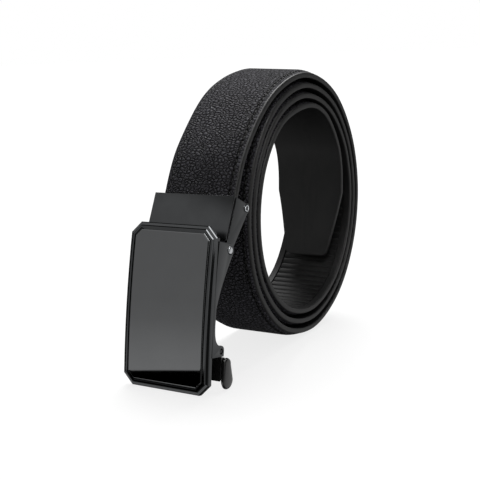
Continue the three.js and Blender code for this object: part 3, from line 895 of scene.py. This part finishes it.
buckle = {
    "width": 40.4,
    "height": 64.7,
    "thick": 2.2,
    "corner": 4.3,
    "bow": 1.3,
    "ear": 0.9,
    "rim": [                 # inset and depth round the section
        (1.0, 2.2), (0.25, 2.2), (0.0, 1.95), (0.0, 0.3), (0.3, 0.0), (1.2, -0.18), (1.25, -0.38),
        (1.57, -0.7), (2.2, -0.7), (2.2, -0.3), (2.6, -0.3), (2.6, 0.3),
    ],
    "sideSteps": 28,         # sections of the bowed long sides
    "panelInset": 2.9,
    "panelFront": -0.7,
    "panelBack": 0.0,
    "hingeDepth": 9.6,
    "hingeRise": 23.4,
    "pinDepth": 7.4,
    "pinDrop": 15.5,
    "pinHole": 1.15,
    "pinHead": 1.0,
    "earDepth": 9.4,
    "earReach": 2.1,
    "earTop": 13.2,
    "waistDepth": 2.15,
    "waistHigh": 1.0,
    "waistLow": 5.0,
}
plateCentre = hingeAxis + plateTurn.to_3x3() @ Vector((0.0, -buckle["hingeDepth"], -buckle["hingeRise"])) * mm
platePlace = Matrix.Translation(plateCentre) @ plateTurn


def plateRing(inset, depth):
    # The eight-cornered outline, its long sides in steps, bowed to the front
    x = buckle["width"] / 2 - inset
    z = buckle["height"] / 2 - inset
    c = buckle["corner"] - inset * (2 - math.sqrt(2))
    steps = buckle["sideSteps"]
    right = [(x - c, z), (x - c / 2, z - c / 2)]
    right += [(x, (z - c) * (1 - 2 * i / steps)) for i in range(steps + 1)]
    right += [(x - c / 2, c / 2 - z), (x - c, -z)]
    ring = right + [(-a, b) for a, b in right[::-1]]
    half = buckle["height"] / 2
    return [Vector((a, depth - buckle["bow"] * (1 - (b / half) ** 2), b)) * mm for a, b in ring]


def softenedProfile(profile, radius):
    # Each inner corner of an open profile becomes a small round
    soft = [profile[0]]
    for before, here, after in zip(profile, profile[1:], profile[2:]):
        pull = Vector(here)
        a = pull + (Vector(before) - pull).normalized() * radius
        b = pull + (Vector(after) - pull).normalized() * radius
        soft += [tuple(a)] + bezier2(tuple(a), here, tuple(b), 3)
    return soft + [profile[-1]]


def plateBody(name, profile, sharpAngle):
    # Rings along the profile, closed at both ends by strips straight across; the eight corners stay crisp
    rings = [plateRing(inset, depth) for inset, depth in profile]
    count = len(rings[0])
    steps = buckle["sideSteps"]
    columns = [0, 2, steps + 2, steps + 4]
    columns += [count - 1 - column for column in columns]
    mesh = loftedMesh(name, rings)
    work = bmesh.new()
    work.from_mesh(mesh)
    work.verts.ensure_lookup_table()
    last = (len(rings) - 1) * count
    for i in range(count // 2 - 1):
        across = (i, i + 1, count - 2 - i, count - 1 - i)
        work.faces.new([work.verts[k] for k in across])
        work.faces.new([work.verts[last + k] for k in across[::-1]])
    for start in range(0, last, count):
        for column in columns:
            ends = work.verts[start + column], work.verts[start + count + column]
            work.edges.get(ends).smooth = False
    work.to_mesh(mesh)
    work.free()
    mesh.transform(platePlace)
    return softened(mesh, sharpAngle)


def wallOutline():
    shape = buckle
    root = 0.45
    low = -shape["pinDrop"] - shape["earReach"]
    depth, rise = shape["hingeDepth"], shape["hingeRise"]
    outline = [(root, low), (root, rise + hub + 1), (depth, rise + hub)]
    outline += arc(depth, rise, hub, 90, -25, 22)[1:]
    outline += bezier2(outline[-1], (depth * 0.45, rise * 0.42), (shape["waistDepth"], shape["waistHigh"]), 20)
    outline.append((shape["waistDepth"], -shape["waistLow"]))
    turn = (shape["earDepth"] - hub, -shape["earTop"])
    outline += bezier2(outline[-1], (shape["waistDepth"], -shape["earTop"]), turn, 14)
    outline += bezier2(turn, (shape["earDepth"], -shape["earTop"]), (shape["earDepth"], -shape["pinDrop"]), 8)
    outline.append((shape["earDepth"], low))
    return outline


def makeBuckle():
    half = buckle["width"] / 2
    plate = plateBody("bucklePlate", buckle["rim"], 12.0)
    holes = [(buckle["hingeDepth"], buckle["hingeRise"], coil["hingeRadius"] + clamp["pinPlay"]),
             (buckle["pinDepth"], -buckle["pinDrop"], buckle["pinHole"])]
    walls = [cutSheet("sideWall", wallOutline(), holes, low, high, 0.12, platePlace)
             for low, high in ((half - buckle["ear"], half), (-half, buckle["ear"] - half))]
    mesh = joinedMesh("buckleFrame", [plate, *walls])
    newPiece("buckleFrame", mesh, ("polished",), "buckle", ("buckle_frame",))
    inset, front, rear = buckle["panelInset"], buckle["panelFront"], buckle["panelBack"]
    face = [(inset + 0.8, rear), (inset, rear), (inset, front), (inset + 0.8, front)]
    panel = plateBody("facePanel", softenedProfile(face, 0.14), 32.0)
    newPiece("facePanel", panel, ("mirror",), "buckle", ("face_panel",))
    head = buckle["pinHead"]
    profile = [(half - 0.1, 0.02), (half - 0.12, 0.3), (half - 0.25, head - 0.25), (half - 0.45, head),
               (half - 0.8, head), (half - 0.9, 0.7)]
    profile = [(-x, r) for x, r in profile] + profile[::-1]
    pin = turnedMesh("leverPin", profile, Matrix.Translation(leverAxis))
    newPiece("leverPin", pin, ("satin",), "buckle", ("lever_pin",))


lever = {
    "sleeve": 1.35,
    "bore": 0.85,
    "nose": [(1.08, 0.0), (-1.5, 3.2), (-1.35, 0.0), (0.0, -1.2)],
    "noseHalf": 12.0,
    "armInside": 15.6,
    "armTop": -2.4,
    "armHeight": 9.1,
    "armRear": 7.4,
    "armFront": -0.5,
    "armBack": 1.9,
    "tabInside": 20.5,
    "tabThick": 1.9,
    "tabTop": (2.3, -4.9, 2.4),
    "tabFoot": (3.5, -11.3, 3.5),
    "tabCrown": [            # place through the thickness and share of the outline there
        (0.0, 0.0), (0.0, 0.8), (0.15, 0.93), (0.5, 1.0), (1.0, 1.0), (1.35, 0.97), (1.62, 0.89),
        (1.78, 0.75), (1.86, 0.55), (1.92, 0.3), (1.95, 0.0),
    ],
}


def tabMesh(place):
    # A rounded thumb tab with a soft ridge down its middle
    top, foot = lever["tabTop"], lever["tabFoot"]
    outline = arc(*top, 180, 0, 14) + arc(*foot, 0, -180, 18)
    middle = Vector(((top[0] + foot[0]) / 2, (top[1] + foot[1]) / 2))
    inside, thick = lever["tabInside"], lever["tabThick"]
    deepest = lever["tabCrown"][-1][0]
    rings = []
    for x, scale in lever["tabCrown"]:
        ring = []
        for depth, height in outline:
            point = middle + (Vector((depth, height)) - middle) * scale
            if scale < 0.9:   # drawn in to a line rather than to a point
                point.y = middle.y + (height - middle.y) * (0.25 + 0.75 * scale / 0.9) * 0.95
            ring.append(Vector((inside + x * thick / deepest, point.x, point.y)) * mm)
        rings.append(ring)
    mesh = loftedMesh("thumbTab", rings, capped=True)
    mesh.transform(place)
    return softened(mesh, 40.0)


def makeLever():
    place = Matrix.Translation(leverAxis) @ plateTurn
    end = buckle["width"] / 2 - buckle["ear"] - 0.3
    sleeve, bore = lever["sleeve"], lever["bore"]
    tube = [(-end, bore), (-end, sleeve - 0.1), (-end + 0.1, sleeve), (end - 0.1, sleeve), (end, sleeve - 0.1),
            (end, bore), (-end, bore)]
    meshes = [turnedMesh("leverSleeve", tube, place)]
    reach = lever["noseHalf"]
    meshes.append(cutSheet("leverNose", lever["nose"], [], -reach, reach, 0.1, place))
    top, front, back, inside = (lever[key] for key in ("armTop", "armFront", "armBack", "armInside"))
    neck = [(-1.3, 0.0), (front, top - 1), (back, top - 1), (1.3, 0.0)]
    meshes.append(cutSheet("leverNeck", neck, [], inside, end, 0.1, place))
    arm = [(front, top), (front, top - lever["armHeight"]), (back, top - lever["armRear"]), (back, top)]
    meshes.append(cutSheet("leverArm", arm, [], inside, lever["tabInside"] + 0.2, 0.12, place))
    meshes.append(tabMesh(place))
    newPiece("releaseLever", joinedMesh("releaseLever", meshes), ("lacquer",), "lever",
             ("release_lever",))


makeClamp()
makeFlap()
makePins()
makeBuckle()
makeLever()
print("clamp and buckle made")


# Camera and studio

view = {
    "fromHinge": (216.807, -308.935, 79.135),
    "azimuth": 31.867,
    "elevation": 11.610,
    "roll": -2.775,
    "lens": 73.0865,
}


def makeCamera():
    data = bpy.data.cameras.new("photoCamera")
    data.lens = view["lens"]
    data.sensor_width = 36.0
    data.clip_start = 0.01
    data.clip_end = 50.0
    camera = bpy.data.objects.new("photoCamera", data)
    turn = Matrix.Rotation(math.radians(view["azimuth"]), 4, "Z")
    tip = Matrix.Rotation(math.radians(90 - view["elevation"]), 4, "X")
    roll = Matrix.Rotation(math.radians(view["roll"]), 4, "Z")
    stand = Matrix.Translation(hingeAxis + Vector(view["fromHinge"]) * mm)
    camera.matrix_world = stand @ turn @ tip @ roll
    scene.collection.objects.link(camera)
    scene.camera = camera


studio = {
    "floor": 0.2,
    "floorGlow": 0.8,        # keeps the paper pale where the belt shades it
    "sky": 1.0,              # what the camera sees beyond the floor
    "room": 0.42,            # what lights the belt from all round
    "dark": 0.06,            # what polished surfaces see between the boards
    "sun": 3.3,
    "sunFrom": (-0.25, 0.6, 1.0),
    "sunSoft": 34.0,         # degrees across
}

# Boards that only polished surfaces see: from where, facing, width and height, brightness up the board
boards = {
    "frontBoard": {"from": (-0.0066, -0.0735, 0.0066), "azimuth": -34.0, "distance": 0.15, "size": (0.11, 0.24),
                   "low": -0.1079, "roll": 9.7,
                   "steps": [(0.0, 0.0), (0.4165, 0.0), (0.4169, 0.84), (0.467, 0.8), (0.525, 0.69),
                             (0.583, 0.575), (0.65, 0.525), (0.875, 0.515), (1.0, 0.53)]},
    "clampBoard": {"from": (0.0, -0.07, 0.06), "azimuth": -42.0, "distance": 0.3, "size": (0.5, 0.26),
                   "low": 0.155, "roll": 0.0, "steps": [(0.0, 0.86), (1.0, 0.86)]},
    "sideBoard": {"from": (0.0194, -0.06, 0.035), "azimuth": 148.0, "distance": 0.5, "size": (0.9, 0.5),
                  "low": -0.35, "roll": 0.0, "steps": [(0.0, 0.62), (0.6, 0.6), (1.0, 0.5)]},
    "cornerBoard": {"from": (0.0194, -0.073, 0.062), "azimuth": 60.0, "distance": 0.1, "size": (0.16, 0.4),
                    "low": 0.25, "roll": 0.0, "steps": [(0.0, 8.0), (1.0, 8.0)]},
    "edgeBoard": {"from": (0.0194, -0.068, 0.03), "azimuth": 62.0, "distance": 0.5, "size": (0.3, 0.6),
                  "low": -0.1, "roll": 0.0, "steps": [(0.0, 0.35), (0.3, 0.7), (1.0, 1.8)]},
    "lowBoard": {"from": (-0.0066, -0.0735, 0.0066), "azimuth": -34.0, "distance": 0.14, "size": (0.4, 0.2),
                 "low": -0.24, "roll": 0.0, "steps": [(0.0, 0.9), (1.0, 0.9)]},
    "underBoard": {"from": (0.0194, 0.0, 0.0), "azimuth": 100.0, "distance": 0.2, "size": (0.6, 0.26),
                   "low": -0.3, "roll": 0.0, "steps": [(0.0, 0.6), (1.0, 0.6)]},
}


def makeSun():
    data = bpy.data.lights.new("softSun", "SUN")
    data.energy = studio["sun"]
    data.angle = math.radians(studio["sunSoft"])
    light = bpy.data.objects.new("softSun", data)
    light.rotation_euler = Vector(studio["sunFrom"]).to_track_quat("Z", "Y").to_euler()
    scene.collection.objects.link(light)


def makeBoard(name, board):
    # A standing board, its lower edge at the given height, brightness changing upwards
    width, height = board["size"]
    turn = math.radians(board["azimuth"])
    away = Vector((math.sin(turn), -math.cos(turn), 0.0))
    side = Vector((math.cos(turn), math.sin(turn), 0.0))
    roll = math.radians(board["roll"])
    right = side * math.cos(roll) + Vector((0, 0, 1)) * math.sin(roll)
    up = Vector((0, 0, 1)) * math.cos(roll) - side * math.sin(roll)
    foot = Vector(board["from"]) + away * board["distance"]
    foot.z = board["low"]
    ends = ((-1, 0), (1, 0), (1, 1), (-1, 1))
    corners = [foot + right * a * width / 2 + up * b * height for a, b in ends]
    mesh = bpy.data.meshes.new(name)
    mesh.from_pydata(corners, [], [(0, 1, 2, 3)])
    layer = mesh.uv_layers.new(name="UVMap")
    layer.uv.foreach_set("vector", [0, 0, 1, 0, 1, 1, 0, 1])

    def glow(net):
        place = net.node("ShaderNodeTexCoord", None, None, 2)
        rise = net.node("ShaderNodeSeparateXYZ", None, {0: place}, 1)
        stops = [(at, grey(level)) for at, level in board["steps"]]
        tone = net.node("ShaderNodeValToRGB", {"stops": stops}, {0: rise})
        return {"Base Color": grey(0.0), "Roughness": 1.0, "Specular IOR Level": 0.0,
                "Emission Color": tone, "Emission Strength": 1.0}

    mesh.materials.append(shade(name, glow))
    sheet = bpy.data.objects.new(name, mesh)
    scene.collection.objects.link(sheet)
    sheet.visible_camera = False
    sheet.visible_diffuse = False
    sheet.visible_shadow = False
    sheet.visible_transmission = False


def makeStudio():
    work = bmesh.new()
    bmesh.ops.create_grid(work, x_segments=1, y_segments=1, size=6.0)
    mesh = bpy.data.meshes.new("floor")
    work.to_mesh(mesh)
    work.free()
    floor = bpy.data.objects.new("floor", mesh)

    def paper(net):
        return {"Base Color": grey(studio["floor"]), "Roughness": 0.9, "Specular IOR Level": 0.1,
                "Emission Color": grey(1.0), "Emission Strength": studio["floorGlow"]}

    mesh.materials.append(shade("paleFloor", paper))
    scene.collection.objects.link(floor)
    floor.visible_glossy = False
    floor.visible_diffuse = False
    world = bpy.data.worlds.new("paleRoom")
    world.use_nodes = True
    world.node_tree.nodes.clear()
    net = Wire(world.node_tree)
    seen = net.node("ShaderNodeLightPath")
    mirrored = net.node("ShaderNodeLightPath", None, None, 3)
    room = studio["room"]
    glow = room + seen * (studio["sky"] - room) + mirrored * (studio["dark"] - room)
    backdrop = net.node("ShaderNodeBackground", None, {"Color": grey(1.0), "Strength": glow})
    net.node("ShaderNodeOutputWorld", None, {"Surface": backdrop})
    scene.world = world
    makeSun()
    for name, board in boards.items():
        makeBoard(name, board)


makeCamera()
makeStudio()
scene.view_settings.view_transform = "Standard"

print("belt finished")
